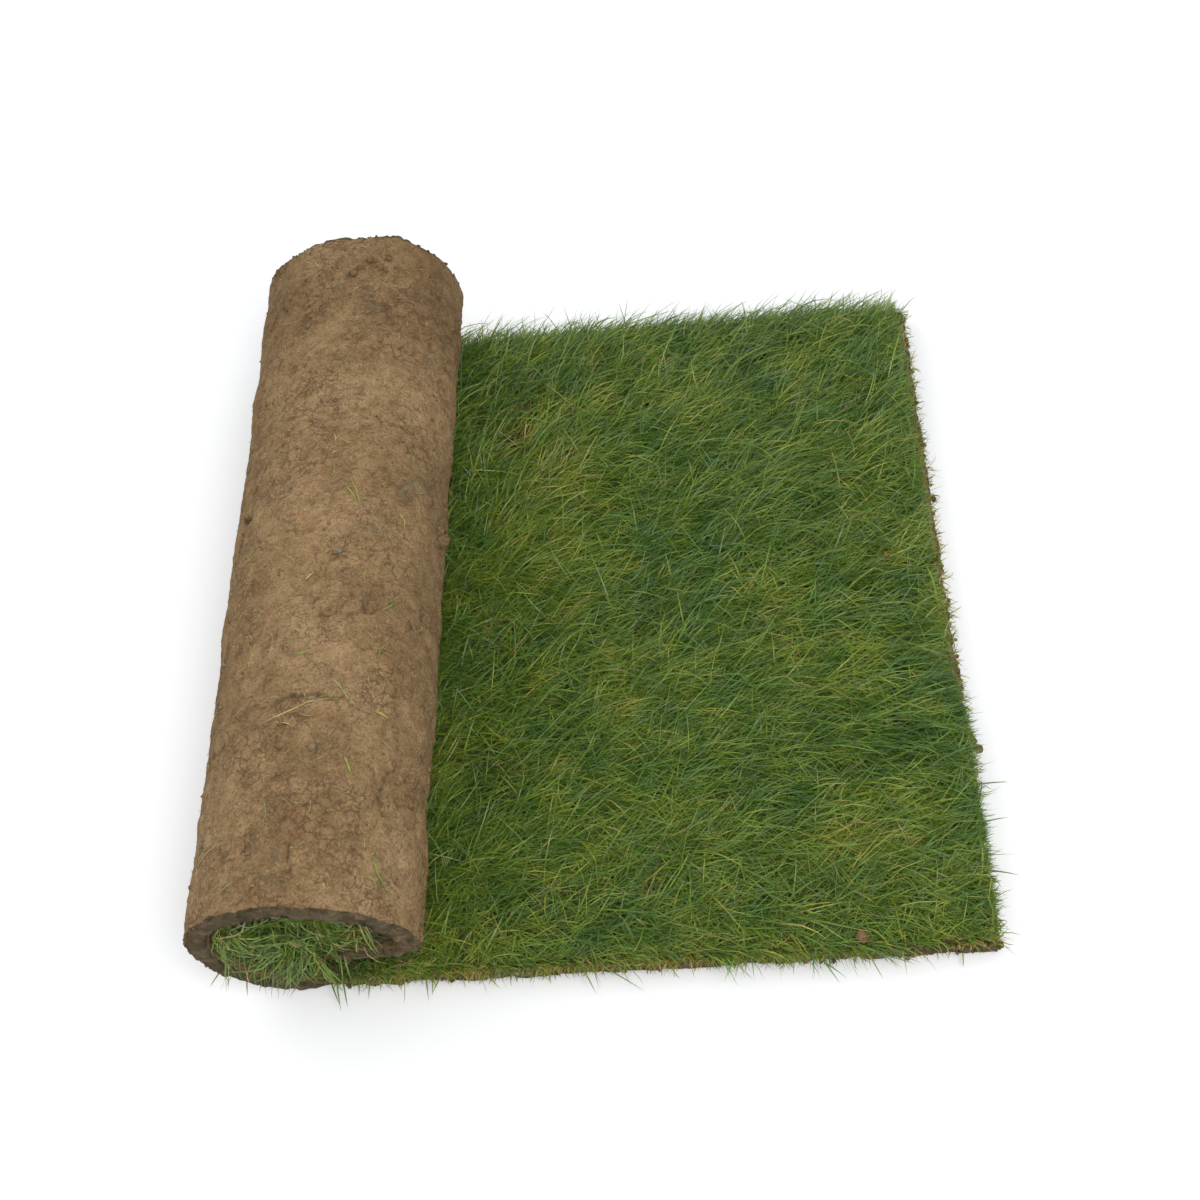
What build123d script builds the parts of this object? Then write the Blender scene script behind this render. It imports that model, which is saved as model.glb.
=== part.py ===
"""A roll of turf, part of it rolled out on the ground.

One strip of turf lies on the ground with its grass up. At its left end it leaves the ground
and is rolled over onto itself, grass inwards, so that the roll shows bare soil all round and
the turns of the spiral show on its two ends.

Frame: +Z up, the roll's axis along Y, the laid end towards +X. The origin is on the ground,
in the middle of the part's box. Lengths are in millimetres.
"""

import math
import os

from build123d import *

# Sizes of the strip
STRIP_WIDTH = 610.0
STRIP_LENGTH = 1440.0
SOD_THICKNESS = 17.0
GRASS_HEIGHT = 18.0
GRASS_EDGE_RADIUS = 8.0

# How it is rolled
LAID_LENGTH = 499.0
PRESSED_GRASS = 9.0
ROLL_SAG = 13.0
TIGHTEST_BEND = 4.0

# The spiral is made of half turns, alternately on the left and on the right. Each is tighter
# than the one before it by half the pitch, so a full turn nests inside the last with only
# pressed grass between them.
PITCH = SOD_THICKNESS + PRESSED_GRASS
HALF_PITCH = PITCH / 2
ROLLED_LENGTH = STRIP_LENGTH - LAID_LENGTH


def innermost_bend(half_turns):
    """Inner radius of the last half turn when the rolled length is spent in that many."""
    straights = (half_turns - 1) * ROLL_SAG
    growth = math.pi * HALF_PITCH * half_turns * (half_turns - 1) / 2
    return (ROLLED_LENGTH - straights - growth) / (half_turns * math.pi) - SOD_THICKNESS / 2


def count_half_turns():
    """The most half turns that the strip can make without folding on itself in the middle."""
    half_turns = 1
    while innermost_bend(half_turns + 1) >= TIGHTEST_BEND:
        half_turns += 1
    return half_turns


HALF_TURNS = count_half_turns()
FIRST_RADIUS = innermost_bend(HALF_TURNS) + SOD_THICKNESS + (HALF_TURNS - 1) * HALF_PITCH
ROLL_HEIGHT = 2 * FIRST_RADIUS
OVERALL_LENGTH = FIRST_RADIUS + LAID_LENGTH

# Places along X: where the strip leaves the ground, and where it was cut
CUT_END_X = OVERALL_LENGTH / 2
LIFT_OFF_X = CUT_END_X - LAID_LENGTH
RIGHT_BEND_X = LIFT_OFF_X + ROLL_SAG

# Heights of the centres of the half turns
LEFT_BEND_Z = FIRST_RADIUS
RIGHT_BEND_Z = FIRST_RADIUS + HALF_PITCH


def half_turn(index, depth):
    """One half turn of the strip, as an arc at a depth in from the bare underside."""
    radius = FIRST_RADIUS - index * HALF_PITCH - depth
    if index % 2 == 0:
        return CenterArc((LIFT_OFF_X, LEFT_BEND_Z), radius, -90, -180)
    return CenterArc((RIGHT_BEND_X, RIGHT_BEND_Z), radius, 90, -180)


def run_of_strip(depth):
    """The strip's line at a depth in from its underside, from the cut end inwards."""
    bends = [half_turn(index, depth) for index in range(HALF_TURNS)]
    edges = [Line((CUT_END_X, depth), bends[0] @ 0), bends[0]]
    for outer, inner in zip(bends, bends[1:]):
        edges += [Line(outer @ 1, inner @ 0), inner]
    return edges


def sod_section():
    """Section across the roll of the layer of soil and roots, from cut end to core."""
    underside = run_of_strip(0)
    root_side = run_of_strip(SOD_THICKNESS)
    core_end = Line(underside[-1] @ 1, root_side[-1] @ 1)
    cut_end = Line(root_side[0] @ 0, underside[0] @ 0)
    return make_face(underside + [core_end] + root_side + [cut_end])


def roll_outline():
    """Everything within the outermost turn: sod, pressed grass and core."""
    left = half_turn(0, 0)
    right = half_turn(1, 0)
    foot = (RIGHT_BEND_X, 0)
    return make_face([left, Line(left @ 1, right @ 0), right, Line(right @ 1, foot), Line(foot, left @ 0)])


def across_strip(section):
    """Extrudes a section over the strip's width, half to each side."""
    return extrude(Plane.XZ * section, amount=STRIP_WIDTH / 2, both=True)


def make_sod():
    return across_strip(sod_section())


def make_grass(sod):
    """Grass standing on the laid stretch, and pressed flat between the turns and in the core."""
    laid_height = SOD_THICKNESS + GRASS_HEIGHT
    middle = ((LIFT_OFF_X + CUT_END_X) / 2, 0, laid_height / 2)
    standing = Pos(*middle) * Box(LAID_LENGTH, STRIP_WIDTH, laid_height)
    top_edges = standing.faces().sort_by(Axis.Z)[-1].edges()
    standing = fillet(top_edges, min(GRASS_EDGE_RADIUS, GRASS_HEIGHT / 2))
    return standing + across_strip(roll_outline()) - sod


sod = make_sod()
grass = make_grass(sod)

print("half turns", HALF_TURNS, "roll height", round(ROLL_HEIGHT, 1))
print("innermost bend", round(innermost_bend(HALF_TURNS), 1), "overall length", round(OVERALL_LENGTH, 1))

os.makedirs("parts", exist_ok=True)
export_step(sod, "parts/sod.step")
export_step(grass, "parts/grass.step")
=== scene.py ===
import math
from collections import namedtuple

import bmesh
import bpy
import numpy as np
from mathutils import Matrix, Vector


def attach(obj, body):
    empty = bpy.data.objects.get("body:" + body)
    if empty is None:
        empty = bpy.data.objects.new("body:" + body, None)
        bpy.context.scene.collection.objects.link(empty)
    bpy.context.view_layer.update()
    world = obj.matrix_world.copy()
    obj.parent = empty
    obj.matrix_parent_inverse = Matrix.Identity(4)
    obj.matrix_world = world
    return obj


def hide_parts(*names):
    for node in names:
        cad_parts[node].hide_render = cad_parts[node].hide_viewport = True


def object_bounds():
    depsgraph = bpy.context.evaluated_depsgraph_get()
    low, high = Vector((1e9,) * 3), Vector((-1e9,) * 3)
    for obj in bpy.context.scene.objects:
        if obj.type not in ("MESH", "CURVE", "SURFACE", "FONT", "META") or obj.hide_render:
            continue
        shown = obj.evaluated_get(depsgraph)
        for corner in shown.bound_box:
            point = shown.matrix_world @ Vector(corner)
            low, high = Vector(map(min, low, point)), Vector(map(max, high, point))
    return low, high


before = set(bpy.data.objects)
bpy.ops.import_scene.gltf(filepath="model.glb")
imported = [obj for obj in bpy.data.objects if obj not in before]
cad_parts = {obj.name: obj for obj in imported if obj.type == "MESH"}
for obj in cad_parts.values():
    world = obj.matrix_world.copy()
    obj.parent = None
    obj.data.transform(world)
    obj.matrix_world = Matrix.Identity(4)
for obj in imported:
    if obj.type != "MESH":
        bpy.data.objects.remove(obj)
cad_low, cad_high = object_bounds()

# Sizes in millimetres. Those from CUT_X to LIFT_X come from the box of the solids.
MM = 0.001
CUT_X = cad_high.x / MM
HALF_WIDTH = cad_high.y / MM
FIRST_RADIUS = cad_high.z / MM / 2
LAID = 2 * CUT_X - FIRST_RADIUS
LIFT_X = CUT_X - LAID
SOD = 17.0
GAP = 9.0
SAG = 13.0
HALF_TURNS = 6
HALF_PITCH = (SOD + GAP) / 2
SECOND_RADIUS = FIRST_RADIUS - HALF_PITCH
RIGHT_X = LIFT_X + SAG
RIGHT_Z = FIRST_RADIUS + HALF_PITCH

# What is uneven about this strip
ROLL_SKEW = 16.0
CUT_AT_FRONT, CUT_AT_BACK = 3.5, -9.5
FRONT_LIFT = 10.0
FRONT_RECESS, BACK_PROUD = 13.0, 5.0
BACK_FLAP = 7.0


def half_turns():
    """For each half turn, where along the strip it starts, its length and its outer radius."""
    turns, start = [], LAID
    for index in range(HALF_TURNS):
        radius = FIRST_RADIUS - index * HALF_PITCH
        length = math.pi * radius
        turns.append((start, length, radius))
        start = start + length + SAG
    return turns


TURNS = half_turns()
OUTER_END = sum(TURNS[1][:2])
ROLL_END = sum(TURNS[-1][:2])


# Noise
def rows_of(*columns):
    """Arrays side by side, as rows; a single number fills its column."""
    return np.stack(np.broadcast_arrays(*columns), 1)


def hashed(ix, iy, iz, seed):
    """Repeatable numbers from 0 to 1 for whole-number grid points."""
    h = (ix.astype(np.int64) * 374761393 + iy.astype(np.int64) * 668265263
         + iz.astype(np.int64) * 2147483647 + seed * 1274126177)
    h = h.astype(np.uint64) & np.uint64(0xFFFFFFFF)
    h = ((h ^ (h >> np.uint64(13))) * np.uint64(1274126177)) & np.uint64(0xFFFFFFFF)
    h = ((h ^ (h >> np.uint64(16))) * np.uint64(2246822519)) & np.uint64(0xFFFFFFFF)
    h = h ^ (h >> np.uint64(15))
    return h.astype(np.float64) / 4294967296.0


def noise(p, seed=0):
    """Gradient noise, about -1 to 1, at points p of shape (n, 3)."""
    base = np.floor(p)
    f = p - base
    u = f * f * f * (f * (f * 6 - 15) + 10)
    total = np.zeros(len(p))
    for corner in np.ndindex(2, 2, 2):
        grid = (base.astype(np.int64) + corner).T
        angle = hashed(*grid, seed) * 2 * np.pi
        height = hashed(*grid, seed + 57) * 2 - 1
        flat = np.sqrt(1 - height * height)
        away = f - corner
        slope = rows_of(flat * np.cos(angle), flat * np.sin(angle), height)
        total += np.prod(np.where(corner, u, 1 - u), axis=1) * (away * slope).sum(axis=1)
    return total * 1.5


def cells(p, seed=0):
    """Distances to the nearest and second nearest scattered point, in cells."""
    base = np.floor(p).astype(np.int64) - 1
    near = np.full(len(p), 9.0)
    next_near = near.copy()
    for shift in np.ndindex(3, 3, 3):
        i = base + shift
        jitter = rows_of(*(hashed(*i.T, seed + k) for k in range(3)))
        d = np.linalg.norm(i + jitter - p, axis=1)
        next_near = np.minimum(next_near, np.maximum(d, near))
        near = np.minimum(near, d)
    return near, next_near


def step(low, high, x):
    t = np.clip((x - low) / (high - low), 0, 1)
    return t * t * (3 - 2 * t)


# The strip's own coordinates
def run_of_strip(s):
    """Place (x, z) of the underside at a run s from the cut end, and the direction of the grass."""
    s = np.asarray(s, float)
    run = [CUT_X - s, 0 * s, 0 * s, 0 * s + 1]
    for index, (start, length, radius) in enumerate(TURNS):
        on_left = index % 2 == 0
        last = index == HALF_TURNS - 1
        way = 1.0 if on_left else -1.0
        cx, cz = (LIFT_X, FIRST_RADIUS) if on_left else (RIGHT_X, RIGHT_Z)
        angle = np.radians(-90.0 * way) - (s - start) / radius
        bend = (cx + radius * np.cos(angle), cz + radius * np.sin(angle), -np.cos(angle), -np.sin(angle))
        end = start + length
        straight = (cx + way * (s - end), cz + way * radius, 0.0, -way)
        on_bend = (s >= start) & ((s < end) | last)
        on_straight = (s >= end) & (s < end + SAG) & (not last)
        run = [np.where(on_bend, b, np.where(on_straight, c, a)) for a, b, c in zip(run, bend, straight)]
    return run


def roll_swell(s, w):
    """Slow unevenness of the roll's outside, outwards, in mm."""
    p = rows_of(s / 95.0, w / 75.0, 0.0)
    return 2.8 * noise(p, 3) + 1.5 * noise(p * 2.3, 4)


def cut_edge(w):
    """Where along X the strip was cut, at a place across it."""
    return CUT_X + CUT_AT_FRONT + (CUT_AT_BACK - CUT_AT_FRONT) * (w + HALF_WIDTH) / (2 * HALF_WIDTH)


def strip_point(s, w, d):
    """Point in mm for a run s, a place w across the strip and a depth d above the underside."""
    s, w, d = (np.asarray(v, float) for v in (s, w, d))
    x, z, nx, nz = run_of_strip(s)
    rolled = step(LAID, LAID + 60, s)
    swell = roll_swell(s, w) * rolled * step(OUTER_END + 120, OUTER_END - 60, s)
    x = x + nx * (d - swell)
    z = z + nz * (d - swell)
    under_roll = step(OUTER_END - 140, OUTER_END - 80, s) * step(110, 30, z)
    z = z + FRONT_LIFT * under_roll * step(-HALF_WIDTH + 90, -HALF_WIDTH, w)
    x = x + ROLL_SKEW * w / (2 * HALF_WIDTH) * step(LAID - 170, LAID - 20, s)
    x = x + (cut_edge(w) - CUT_X) * step(140, 0, s)
    return np.stack([x, w, z], 1)


# Meshes
def new_object(name, data):
    obj = bpy.data.objects.new(name, data)
    bpy.context.scene.collection.objects.link(obj)
    return obj


def make_object(name, points_mm, quads, tris, nodes=()):
    """A smooth mesh object; it rides on the frame and hides the parts of model.glb that it stands in for."""
    mesh = bpy.data.meshes.new(name)
    faces = np.reshape(quads, (-1, 4)).tolist() + np.reshape(tris, (-1, 3)).tolist()
    mesh.from_pydata(points_mm * MM, [], faces, shade_flat=False)
    obj = new_object(name, mesh)
    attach(obj, "root")
    if nodes:
        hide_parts(*nodes)
    return obj


def paint(obj, name, values):
    """Stores three numbers for each point, for the material to read."""
    attribute = obj.data.attributes.new(name, "FLOAT_VECTOR", "POINT")
    attribute.data.foreach_set("vector", np.asarray(values, np.float32).ravel())


def zip_rows(a, b, pa, pb):
    """Triangles between two rows of points that have different spacing."""
    tris, i, j = [], 0, 0
    while i < len(a) - 1 or j < len(b) - 1:
        if j == len(b) - 1 or (i < len(a) - 1 and pa[i + 1] <= pb[j + 1]):
            tris.append((a[i], a[i + 1], b[j]))
            i += 1
        else:
            tris.append((a[i], b[j + 1], b[j]))
            j += 1
    return tris


def strip_solid(stations, across, depths, place):
    """A closed solid along the strip.

    stations is a list of (s, index of the spacing at the lowest depth, index at the highest).
    across is a pair of lists of spacings, for those two depths. place turns rows of s, w, d and
    the outward direction in those coordinates into points.
    """
    m = len(depths) - 1
    between = depths[1:-1]
    info, ids, count = [], [], 0
    for s, low_index, high_index in stations:
        low, high = across[0][low_index], across[1][high_index]
        w = np.concatenate([low, np.full(m - 1, low[-1]), high[::-1], np.full(m - 1, low[0])])
        d = np.concatenate([0 * low + depths[0], between, 0 * high + depths[-1], between[::-1]])
        nw = 1.0 * (w == low[-1]) - (w == low[0])
        nd = 1.0 * (d == depths[-1]) - (d == depths[0])
        info.append(rows_of(s, w, d, 0.0, nw, nd))
        ids.append(count + np.arange(len(w)))
        count += len(w)
    quads, tris = [], []
    for k in range(len(stations) - 1):
        a, b = ids[k], ids[k + 1]
        (la, ha), (lb, hb) = ((len(across[0][i]), len(across[1][j])) for _, i, j in stations[k:k + 2])
        if la == lb and ha == hb:
            quads.append(np.stack([a, np.roll(a, -1), np.roll(b, -1), b], 1))
            continue
        wa, wb = info[k][:, 1], info[k + 1][:, 1]
        tris += zip_rows(a[:la], b[:lb], wa[:la], wb[:lb])
        ta, tb = slice(la + m - 1, la + m - 1 + ha), slice(lb + m - 1, lb + m - 1 + hb)
        tris += zip_rows(a[ta], b[tb], -wa[ta], -wb[tb])
        back, front = (a[la - 1:la + m], b[lb - 1:lb + m]), (a[la + m + ha - 2:], b[lb + m + hb - 2:])
        for side_a, side_b in (back, [np.append(side, ring[0]) for side, ring in zip(front, (a, b))]):
            quads.append(np.stack([side_a[:-1], side_a[1:], side_b[1:], side_b[:-1]], 1))
    for k, way in ((0, -1.0), (len(stations) - 1, 1.0)):
        ring, (s, low_index, _) = ids[k], stations[k]
        low = across[0][low_index]
        n = len(low)
        grid = np.zeros((m + 1, n), np.int64)
        grid[0], grid[m] = ring[:n], ring[n + m - 1:2 * n + m - 1][::-1]
        grid[1:m, 0], grid[1:m, n - 1] = ring[2 * n + m - 1:][::-1], ring[n:n + m - 1]
        inner = np.arange((m - 1) * (n - 2)).reshape(m - 1, n - 2) + count
        grid[1:m, 1:n - 1] = inner
        count += inner.size
        ww, dd = np.meshgrid(low[1:-1], between)
        info[k][:, 3] = way
        info.append(rows_of(s, ww.ravel(), dd.ravel(), way, 0.0, 0.0))
        face = np.stack([grid[:-1, :-1], grid[:-1, 1:], grid[1:, 1:], grid[1:, :-1]], -1).reshape(-1, 4)
        quads.append(face[:, ::-1] if way < 0 else face)
    rows = np.concatenate(info)
    return place(rows), np.concatenate(quads), tris, rows


def spaced(spacing, edge=0.0, edge_spacing=1.0):
    """Places across the strip, finer within a distance of its two edges."""
    half = HALF_WIDTH
    middle = np.linspace(-half + edge, half - edge, int(round(2 * (half - edge) / spacing)) + 1)
    if not edge:
        return middle
    side = np.linspace(0, edge, int(round(edge / edge_spacing)) + 1)[:-1]
    return np.concatenate([-half + side, middle, half - side[::-1]])


# Relief of the soil
CRACKS = [  # polylines in (s, w), half width, depth
    ([(757, -146), (772, -143), (786, -142), (800, -146)], 4.2, 2.4),
    ([(766, -188), (781, -190)], 2.4, 1.5),
    ([(799, -187), (808, -197)], 2.0, 1.3),
    ([(850, -197), (846, -206), (842, -221), (848, -236)], 2.2, 2.4),
    ([(703, 246), (699, 238), (692, 233)], 3.6, 4.0),
    ([(779, 262), (786, 268)], 5.0, 2.6),
    ([(799, 270), (812, 266)], 3.4, 2.2),
    ([(712, 251), (717, 244)], 3.0, 3.2),
    ([(690, 44), (697, 37), (707, 34)], 4.0, 4.5),
    ([(747, 172), (756, 160), (752, 149)], 2.0, 2.4),
    ([(812, 118), (820, 109), (835, 111), (846, 104)], 2.0, 2.6),
    ([(780, -250), (779, -268), (783, -282)], 1.6, 2.4),
]


def segment_distance(s, w, line):
    best = np.full(len(s), 1e9)
    for (s0, w0), (s1, w1) in zip(line, line[1:]):
        ds, dw = s1 - s0, w1 - w0
        t = np.clip(((s - s0) * ds + (w - w0) * dw) / (ds * ds + dw * dw), 0, 1)
        best = np.minimum(best, np.hypot(s - s0 - t * ds, w - w0 - t * dw))
    return best


def soil_relief(s, w, d):
    """Relief of broken soil, outwards, in mm: clods with seams between them, crumbs, pits and grain."""
    p = rows_of(s, w, d * 1.3)
    q = p + 3.2 * rows_of(*(noise(p / 11.0, seed) for seed in (21, 22, 23)))
    slow = noise(p / 34.0, 11)
    near, next_near = cells(q / np.array([15.0, 11.0, 11.0]), 31)
    clod = 0.9 * (0.55 - near)
    seam = step(0.16, 0.0, next_near - near) * step(-0.15, 0.45, noise(p / 27.0, 12))
    crumb = 0.55 * (0.5 - cells(q / 5.4, 33)[0])
    pit = step(0.36, 0.72, noise(q / 7.0, 14)) * step(-0.3, 0.4, noise(p / 45.0, 15))
    fine = 0.3 * noise(p / 3.6, 16)
    return 0.8 * slow + 1.3 * clod - 1.9 * seam + 1.5 * crumb - 1.5 * pit + 1.6 * fine


def crack_depth(s, w):
    shift = 1.6 * noise(rows_of(s / 6.0, w / 6.0, 0.0), 41)
    total = np.zeros_like(s)
    for line, half, depth in CRACKS:
        total = np.maximum(total, depth * step(half, 0.2, segment_distance(s, w, line) + shift))
    return total


def place_sod(rows):
    """The sod's surface, with its relief, torn ends, worn corners and turns that stand in or out."""
    s, w, d, ns, nw, nd = rows.T
    relief = soil_relief(s, w, d)
    on_side = (nw != 0) | (ns != 0)
    rolled = step(LAID + 4, LAID + 25, s)
    out = np.where((nd < 0) & ~on_side, (relief - crack_depth(s, w)) * rolled, relief)
    out = np.where((nd > 0) & ~on_side, relief * 0.4, out)
    away_d = nd * np.where(on_side, -1.4 + 0.4 * relief, out)

    along = rows_of(s, 0.0, d * 0.6)
    end = np.sign(w)[:, None]
    at_back_end = (w > 0) * rolled
    ragged = ((2.4 + 2.6 * at_back_end) * noise(along / 31.0 + end * 9.7, 51)
              + (1.2 + 0.9 * at_back_end) * noise(along / 9.0 + end * 5.1, 52))
    worn = (2.2 + 1.8 * noise(along / 13.0 + 3.3, 55)) * (nd != 0)
    away_w = nw * ((0.9 + 0.5 * rolled) * relief + ragged - worn)

    across = rows_of(0.0, w, d * 0.6)
    cut_ragged = 2.6 * noise(across / 33.0, 53) + 1.3 * noise(across / 10.0, 54)
    away_s = ns * (0.9 * relief + cut_ragged - 1.0 - 1.6 * (nd != 0))

    at_front, at_back = step(-HALF_WIDTH + 60, -HALF_WIDTH, w), step(HALF_WIDTH - 60, HALF_WIDTH, w)
    inner = step(OUTER_END - 150, OUTER_END + 60, s)
    top_right = step(LAID + 190, LAID + 330, s) * step(OUTER_END - 20, OUTER_END - 130, s)
    flap = step(LAID + 60, LAID + 110, s) * step(LAID + 212, LAID + 186, s)
    tuck = at_front * (FRONT_RECESS * inner - 3.0 * rolled - 6.0 * top_right)
    tuck = tuck + at_back * (BACK_FLAP * flap - BACK_PROUD * inner)
    points = strip_point(s + away_s, w + away_w + tuck, d + away_d)
    return np.column_stack([points[:, :2], np.maximum(points[:, 2], 0.15)])


FINE = 2.5
sod_across = [spaced(FINE), spaced(26.0, 15.0, FINE)]
stations = [(0.0, 0, 0)]
stations += [(s, 1, 1) for s in np.arange(FINE, LAID - 4, FINE)]
stations += [(s, 0, 1) for s in np.arange(LAID, OUTER_END + 16, FINE)]
stations += [(s, 1, 1) for s in np.linspace(OUTER_END + 19, ROLL_END, 130)]
points, quads, tris, rows = strip_solid(stations, (sod_across, sod_across), np.linspace(0, SOD, 8), place_sod)
sod = make_object("sod_strip", points, quads, tris, ["sod"])
paint(sod, "strip", rows[:, :3] * MM)
s, w, d, ns, nw, nd = rows.T
cracks = np.where((nd < 0) & (nw == 0), crack_depth(s, w), 0)
# The state carries the relief, the torn and cut faces and the crack depth; the soil material turns them into
# painted shade in hollows and cracks, and darker cut faces that are partly painted shade.
paint(sod, "state", rows_of(soil_relief(s, w, d), (nw != 0) | (ns != 0), cracks))

# Mat of stems and moss
MAT_INSET = 6.0


def mat_thickness(s, w):
    p = rows_of(s, w, 0.0)
    laid = 5.0 + 2.2 * noise(p / 24.0, 61) + 1.8 * noise(p / 8.0, 62)
    laid = laid + 0.8 * noise(p / 3.5, 63)
    laid = 0.8 + (laid - 0.8) * step(0, 14, np.minimum(HALF_WIDTH - np.abs(w), s))
    return laid + (GAP - 0.8 - laid) * step(LAID - 60, LAID, s)


def place_mat(rows):
    s, w, d, ns, nw, nd = rows.T
    p = rows_of(s, w, d)
    rough = 1.6 * noise(p / 6.0, 64) + 2.6 * noise(p / 17.0, 65)
    room = np.full_like(s, 1e3)
    for start, length, radius in TURNS:
        room = np.where((s >= start) & (s < start + length), radius - SOD - 2.0, room)
    level = SOD - 0.5 + d * np.minimum(mat_thickness(s, w), room)
    inset = 1.5 + 5.0 * step(LAID - 40, LAID + 20, s) + 4.0 * step(OUTER_END - 150, OUTER_END + 60, s)
    w = w - np.sign(w) * inset * step(HALF_WIDTH - 40, HALF_WIDTH, np.abs(w)) + nw * rough * 0.8
    return strip_point(s + MAT_INSET * (ns < 0), w, level)


COARSE = 5.0
mat_sides = spaced(30.0, 15.0, COARSE)
stations = [(0.0, 0, 1)] + [(s, 0, 0) for s in np.arange(MAT_INSET + 3.0, LAID - 20, COARSE)]
stations += [(s, 0, 1) for s in np.linspace(LAID - 18, ROLL_END - 8, 180)]
mat_across = ([mat_sides], [spaced(COARSE), mat_sides])
points, quads, tris, rows = strip_solid(stations, mat_across, np.linspace(0, 1, 4), place_mat)
mat = make_object("grass_mat", points, quads, tris, ["grass"])
paint(mat, "strip", rows[:, :3] * np.array([MM, MM, 0.01]))
paint(mat, "state", rows_of((rows[:, 4] != 0) * step(LAID - 60, LAID, rows[:, 0]), 0.0, 0.0))


# Blades
Blades = namedtuple("Blades", "root first later length width droop twist tint curl reach")
rng = np.random.default_rng(20417)
blade_objects = []
NEARLY_UP = np.array([0.02, 0.02, 1.02])

# Widths along a blade, in shares of the widest, by number of segments
BLADE_SHAPE = {5: (0.62, 0.95, 1.0, 0.82, 0.5), 4: (0.65, 1.0, 0.9, 0.58), 3: (0.7, 1.0, 0.72)}


def normalised(v):
    return v / np.maximum(np.linalg.norm(v, axis=1, keepdims=True), 1e-9)


def chance(n, share):
    return rng.uniform(0, 1, n) < share


def some(n, share, low, high, others):
    """Random numbers for a share of n blades, and the given ones for the others."""
    return np.where(chance(n, share), rng.uniform(low, high, n), others)


def spread(mean, deviation, n, low, high):
    """Random numbers about a mean, held within limits."""
    return np.clip(rng.normal(mean, deviation, n), low, high)


def directions(angle, rise):
    return rows_of(np.cos(angle) * np.cos(rise), np.sin(angle) * np.cos(rise), np.sin(rise))


def in_roll(p):
    """How far each point is inside the roll, and the way out, for points right of its axis."""
    skew = ROLL_SKEW * p[:, 1] / (2 * HALF_WIDTH)
    dx = p[:, 0] - RIGHT_X - skew
    dz = p[:, 2] - RIGHT_Z
    reach = np.hypot(dx, dz)
    return SECOND_RADIUS + 1.5 - reach, rows_of(dx / reach, 0.0, dz / reach)


def keep_laid(p, u, limit):
    """Keeps blades above the mat or the floor, and out of the roll."""
    p = p.copy()
    outside = (np.abs(p[:, 1]) > HALF_WIDTH + 0.5) | (p[:, 0] > cut_edge(p[:, 1]) + 0.5)
    p[:, 2] = np.maximum(p[:, 2], np.where(outside, 0.5 + 1.5 * (1 - u), SOD + 1.0))
    depth, way = in_roll(p)
    inside = depth > 0
    p[inside] += way[inside] * depth[inside, None]
    p[:, 2] = np.maximum(p[:, 2], 0.5)
    p[:, 1] = np.clip(p[:, 1], -HALF_WIDTH - limit, HALF_WIDTH + limit)
    p[:, 0] = np.minimum(p[:, 0], CUT_X + limit)
    return p


def keep_end(p, u, limit):
    """Keeps blades inside the ring of soil, or in front of its lower part, and above the floor."""
    p = p.copy()
    for x, z, radius, on_this_side in ((LIFT_X, FIRST_RADIUS, FIRST_RADIUS, p[:, 0] < LIFT_X),
                                       (RIGHT_X, RIGHT_Z, SECOND_RADIUS, p[:, 0] >= LIFT_X)):
        dx, dz = p[:, 0] - x - ROLL_SKEW / 2 * np.sign(p[:, 1]), p[:, 2] - z
        reach = np.maximum(np.hypot(dx, dz), 1e-6)
        room = radius - SOD - 3.0 + 40.0 * step(62, 40, p[:, 2])
        pull = np.where(on_this_side & (p[:, 2] > 38) & (reach > room), room / reach, 1.0)
        p[:, 0] += dx * (pull - 1)
        p[:, 2] += dz * (pull - 1)
    p[:, 1] = np.clip(p[:, 1], -HALF_WIDTH - limit, HALF_WIDTH + limit)
    on_strip = (np.abs(p[:, 1]) < HALF_WIDTH) & (p[:, 0] > LIFT_X - 10)
    p[:, 2] = np.maximum(p[:, 2], np.where(on_strip, SOD + 1, 0.6))
    return p


def grow(blades, segments, keep_out):
    """Centre lines and side directions of blades that bend from one direction to another."""
    at = blades.root
    line, side = [at], []
    for k in range(segments + 1):
        u = k / segments
        t = blades.first * (1 - u) ** 1.3 + blades.later * u
        t[:, 2] -= blades.droop * u * u
        t[:, :2] += blades.curl * (u * u)
        t = normalised(t)
        across = normalised(np.cross(t, NEARLY_UP))
        over = np.cross(across, t)
        angle = blades.twist * (0.4 + u)
        side.append(across * np.cos(angle)[:, None] + over * np.sin(angle)[:, None])
        if k < segments:
            at = keep_out(at + t * (blades.length / segments)[:, None], u, blades.reach)
            line.append(at)
    return np.stack(line, 1), np.stack(side, 1)


def grow_batches(blades, keep_out):
    """Grows blades, the long ones with more segments, and gives ribbon batches."""
    batches = []
    for low, high, segments in ((52, np.inf, 5), (34, 52, 4), (-np.inf, 34, 3)):
        chosen = (blades.length >= low) & (blades.length < high)
        part = Blades(*(column[chosen] for column in blades))
        batches.append((*grow(part, segments, keep_out), part.width, part.tint))
    return batches


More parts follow.
